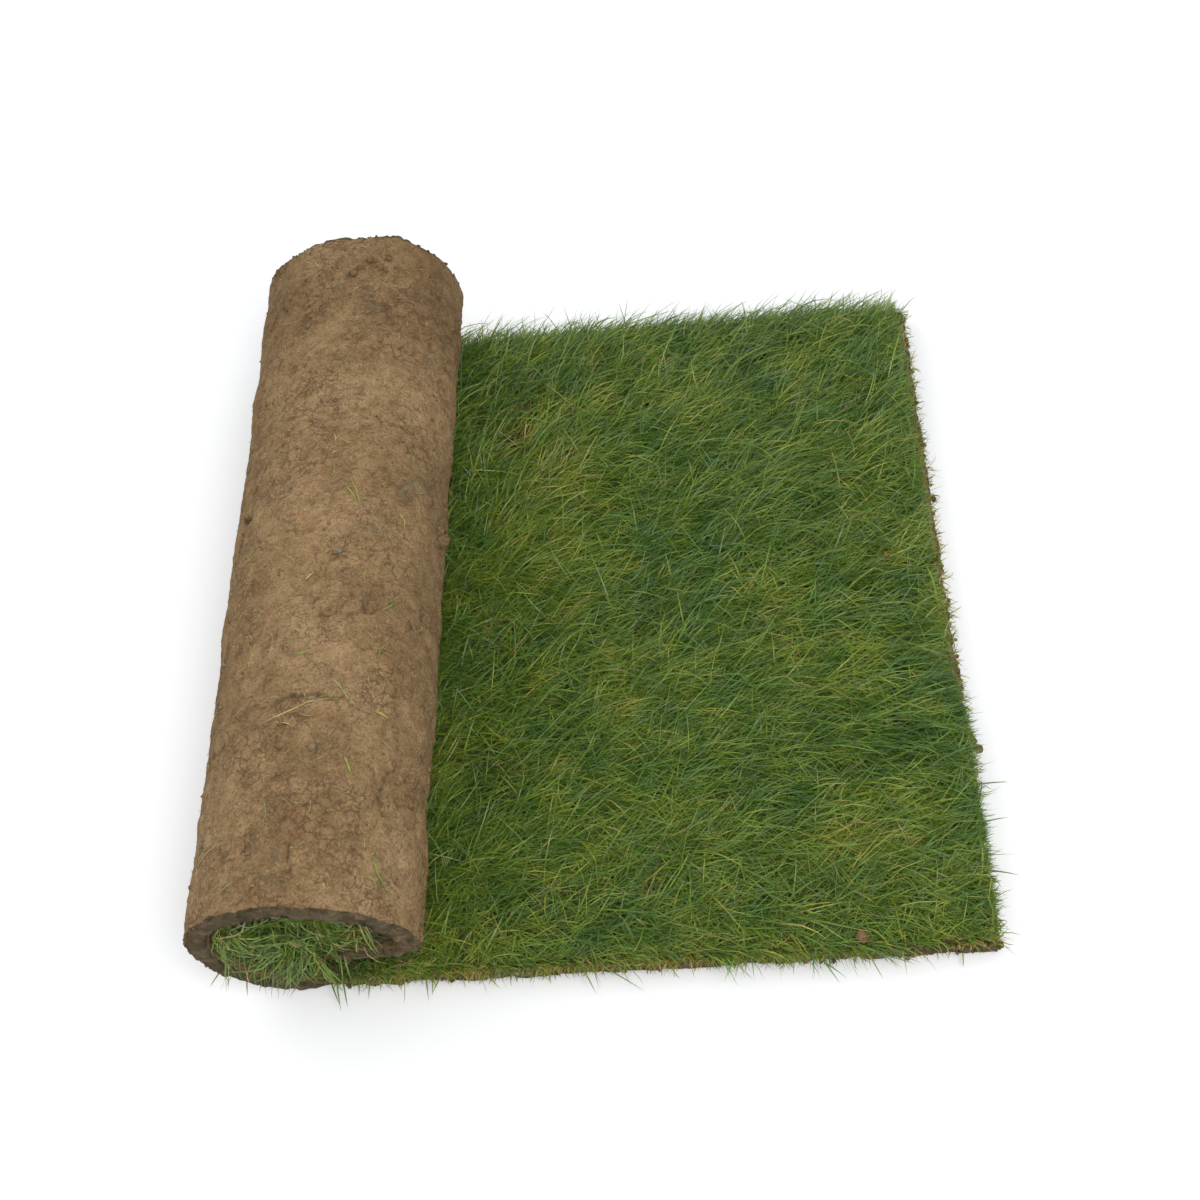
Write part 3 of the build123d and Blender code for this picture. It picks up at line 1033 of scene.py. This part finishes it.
def soil_material():
    """Dry soil in mottled browns, with dark lines between clods, painted shade in the hollows and cracks of
    its relief, and darker torn or cut faces, partly moist soil and partly painted shade.
    """
    material, g, shader = new_material("soil")
    strip = g.attribute("strip")
    relief, cut_face, crack = g.split(g.attribute("state"))
    stretched = g.vector("MULTIPLY", strip, (0.62, 1.15, 1.0))
    grain = g.noise(strip, 520.0, 5.0, 0.7, 0.6)
    base = g.ramp(g.noise(strip, 11.0, 3.0),
                  [(0.3, (0.283, 0.184, 0.09)), (0.5, (0.368, 0.243, 0.123)), (0.72, (0.448, 0.303, 0.164))])
    tone = g.ramp(g.noise(strip, 90.0, 5.0, 0.65),
                  [(0.36, (0.8, 0.77, 0.72)), (0.52, (1.0, 1.0, 1.0)), (0.68, (1.15, 1.14, 1.13))])
    colour = g.mix(1.0, base, tone, "MULTIPLY")
    smear = g.noise(stretched, 24.0, 5.0, 0.7, 0.8)
    colour = g.mix(g.span(smear, 0.6, 0.74, 0.75), colour, (0.19, 0.165, 0.09))
    rust = g.noise(stretched, 75.0, 4.0, 0.6, 0.5)
    colour = g.mix(g.span(rust, 0.55, 0.72, 0.55), colour, (0.3, 0.15, 0.07))
    speck = g.ramp(grain, [(0.3, (0.42, 0.38, 0.34)), (0.46, (0.95, 0.94, 0.93)), (0.7, (1.34, 1.32, 1.28))])
    colour = g.mix(0.85, colour, speck, "MULTIPLY")

    squiggle = g.noise(stretched, 165.0, 6.0, 0.7, 1.9)
    often = g.math("MULTIPLY_ADD", g.noise(strip, 30.0, 3.0), -0.22, squiggle)
    colour = g.mix(g.span(often, 0.318, 0.245, 0.45), colour, (0.105, 0.064, 0.03))
    off_middle = g.math("ABSOLUTE", g.math("SUBTRACT", g.noise(strip, 85.0, 5.0, 0.68, 1.2), 0.5))
    line = g.span(off_middle, 0.016, 0.003)
    shown = g.math("MULTIPLY", line, g.span(squiggle, 0.58, 0.44, 0.75))
    colour = g.mix(shown, colour, (0.12, 0.07, 0.034))

    shift = g.noise(strip, 120.0, 3.0, 0.5, output="Color")
    bent = g.vector("MULTIPLY_ADD", shift, (0.014, 0.014, 0.014), strip)
    for scale, wide, strength, region_scale in ((92.0, 0.08, 0.7, 19.0), (180.0, 0.095, 0.55, 33.0)):
        own = g.ramp(g.split(g.cells(bent, scale, "Color"))[0],
                     [(0.0, (0.93, 0.925, 0.92)), (1.0, (1.07, 1.07, 1.07))])
        colour = g.mix(1.0, colour, own, "MULTIPLY")
        gap = g.span(g.cells(bent, scale, "Distance", feature="DISTANCE_TO_EDGE"), wide, 0.01)
        region = g.span(g.noise(strip, region_scale, 4.0, 0.6), 0.46, 0.6, strength)
        colour = g.mix(g.math("MULTIPLY", gap, region), colour, (0.125, 0.072, 0.038))

    speckle = g.noise(strip, 230.0, 3.0, 0.6)
    colour = g.mix(g.span(speckle, 0.61, 0.7, 0.6), colour, (0.15, 0.12, 0.062))
    at_back = g.span(g.split(strip)[1], 0.1, 0.3, 0.2)
    colour = g.mix(at_back, colour, (0.08, 0.042, 0.016))
    # Painted shade in the hollows of the relief: seams between clods and pits get darker the deeper they lie.
    colour = g.mix(g.span(relief, -0.7, -2.9, 0.75), colour, (0.11, 0.068, 0.032))
    # Painted shade in the cracks, darker the deeper the crack is.
    colour = g.mix(g.span(crack, 0.4, 3.2, 0.8), colour, (0.085, 0.062, 0.03))
    colour = g.mix(g.span(crack, -0.3, -0.7), colour, (0.29, 0.26, 0.22))

    # Torn and cut faces, on the ends of the roll and the edges of the strip, are darker and greyer: partly
    # moist cut soil, partly painted shade.
    lump = g.noise(strip, 70.0, 5.0, 0.62, 0.4)
    cut = g.ramp(lump,
                 [(0.34, (0.07, 0.054, 0.032)), (0.5, (0.128, 0.098, 0.056)), (0.68, (0.225, 0.158, 0.09))])
    cut = g.mix(0.75, cut, speck, "MULTIPLY")
    torn = g.math("MULTIPLY_ADD", lump, -1.5, cut_face)
    colour = g.mix(g.span(torn, -0.55, 0.05), colour, cut)
    g.finish(shader, colour, 0.95, 0.15, g.math("ADD", squiggle, grain), 0.9, 0.0022)
    return material


def mat_material():
    material, g, shader = new_material("thatch")
    strip = g.attribute("strip")
    fine = g.noise(strip, 480.0, 5.0, 0.7, 1.0)
    base = g.ramp(g.noise(strip, 40.0, 4.0, 0.6),
                  [(0.3, (0.042, 0.042, 0.012)), (0.52, (0.086, 0.072, 0.025)), (0.72, (0.155, 0.108, 0.05))])
    tone = g.ramp(fine, [(0.3, (0.45, 0.45, 0.45)), (0.55, (1.0, 1.0, 1.0)), (0.75, (1.6, 1.5, 1.3))])
    colour = g.mix(g.split(g.attribute("state"))[0], base, (0.12, 0.09, 0.048))
    g.finish(shader, g.mix(1.0, colour, tone, "MULTIPLY"), 0.95, 0.1, fine, 1.0, 0.0015)
    return material


def grass_material():
    """Green to straw by each blade's tint, brown at its foot, paler along its middle as a painted highlight
    for a fold, and in patches of hue with painted shade and light.
    """
    material, g, shader = new_material("grass_blades")
    along, tint, across = g.split(g.attribute("blade"))
    hue = g.ramp(tint, [
        (0.02, (0.042, 0.104, 0.026)),
        (0.32, (0.086, 0.18, 0.017)),
        (0.58, (0.15, 0.246, 0.018)),
        (0.8, (0.24, 0.298, 0.024)),
        (0.89, (0.325, 0.29, 0.065)),
        (0.96, (0.45, 0.36, 0.19)),
        (1.0, (0.3, 0.175, 0.075)),
    ])
    colour = g.mix(g.span(along, 0.34, 0.0), hue, (0.15, 0.125, 0.045))
    # Paler along the middle of each blade: a painted highlight for a fold that the flat ribbon doesn't have.
    fold_highlight = g.span(g.math("ABSOLUTE", across), 0.35, 0.0, 0.35)
    colour = g.mix(fold_highlight, colour, (0.2, 0.3, 0.1))
    place = g.add("TexCoord", {}, "Object")
    # Patches of hue and brightness: the shift of hue is the sward's own, the darker and lighter patches are
    # painted shade and light for deeper and higher parts of the sward.
    sward_hue_and_shade = g.ramp(g.noise(place, 30.0, 3.0, 0.6),
                   [(0.36, (0.68, 0.82, 0.76)), (0.5, (1.0, 1.0, 1.0)), (0.64, (1.3, 1.17, 1.1))])
    colour = g.mix(1.0, colour, sward_hue_and_shade, "MULTIPLY")
    mottle = g.ramp(g.noise(place, 260.0, 3.0, 0.6), [(0.3, (0.68, 0.7, 0.66)), (0.7, (1.34, 1.3, 1.28))])
    g.finish(shader, g.mix(1.0, colour, mottle, "MULTIPLY"), 0.42, 0.52)
    return material


soil = soil_material()
sod.data.materials.append(soil)
crumbs.data.materials.append(soil)
mat.data.materials.append(mat_material())
blades = grass_material()
for obj in blade_objects:
    obj.data.materials.append(blades)


# Floor
def camera_white(g, seen, lit):
    """One shader for what the camera, gloss and glass see, another for the light it gives."""
    path = g.nodes.new("ShaderNodeLightPath").outputs
    seen_ray = g.math("MAXIMUM", path["Is Camera Ray"], path["Is Glossy Ray"])
    seen_ray = g.math("MAXIMUM", seen_ray, path["Is Transmission Ray"])
    return g.add("MixShader", {0: seen_ray, 1: lit, 2: seen})


WHITE = (1.0, 1.0, 1.0)
FLOOR_REACH = 12.0
floor_mesh = bpy.data.meshes.new("floor")
corners = [(x * FLOOR_REACH, y * FLOOR_REACH, 0) for x, y in ((-1, -1), (1, -1), (1, 1), (-1, 1))]
floor_mesh.from_pydata(corners, [], [(0, 1, 2, 3)])
floor = new_object("floor", floor_mesh)
floor.location.z = -0.0004
material, g, shader = new_material("floor")
g.finish(shader, (0.8, 0.8, 0.8), 1.0, 0.0)
near_white = g.add("BsdfPrincipled", {
    "Base Color": (0.93, 0.94, 0.95), "Roughness": 1.0, "Specular IOR Level": 0.0,
    "Emission Color": WHITE, "Emission Strength": 0.12,
})
far_white = g.add("Emission", {"Color": WHITE, "Strength": 1.0})
distance = g.vector("LENGTH", g.add("TexCoord", {}, "Object"), output="Value")
seen = g.add("MixShader", {0: g.span(distance, 0.75, 1.7), 1: near_white, 2: far_white})
g.put(g.nodes["Material Output"].inputs["Surface"], camera_white(g, seen, shader.outputs[0]))
floor_mesh.materials.append(material)

# Light
world = bpy.data.worlds.new("studio")
bpy.context.scene.world = world
world.use_nodes = True
g = Graph(world.node_tree)
soft = g.nodes["Background"]
g.put(soft.inputs["Color"], (0.96, 0.98, 1.0))
g.put(soft.inputs["Strength"], 0.66)
white = g.add("Background", {"Color": WHITE, "Strength": 1.0})
g.put(g.nodes["World Output"].inputs["Surface"], camera_white(g, white, soft.outputs[0]))


def area_lamp(name, place, size, power, colour):
    """A square lamp that shines on the origin."""
    lamp = bpy.data.lights.new(name, "AREA")
    lamp.shape = "SQUARE"
    lamp.size = size
    lamp.energy = power
    lamp.color = colour
    obj = new_object(name, lamp)
    obj.location = place
    obj.rotation_euler = (-Vector(place)).to_track_quat("-Z", "Y").to_euler()


area_lamp("key", (0.9, -1.3, 2.7), 1.6, 44.0, (1.0, 0.99, 0.965))
area_lamp("fill", (-1.9, 0.9, 2.2), 2.2, 16.0, WHITE)
bpy.context.scene.view_settings.view_transform = "Standard"

# Camera
camera_data = bpy.data.cameras.new("camera")
camera_data.sensor_width = 36.0
camera_data.lens = 55.94
camera_data.clip_start, camera_data.clip_end = 0.05, 50
camera = new_object("camera", camera_data)
right = Vector((0.99419, -0.01473, -0.10666))
up = Vector((0.06785, 0.85487, 0.51438))
back = Vector((0.0836, -0.51863, 0.8509))
place = Vector(((338.61 + LIFT_X) * MM, -800.11 * MM, 1359.34 * MM))
camera.matrix_world = Matrix.Translation(place) @ Matrix((right, up, back)).transposed().to_4x4()
bpy.context.scene.camera = camera
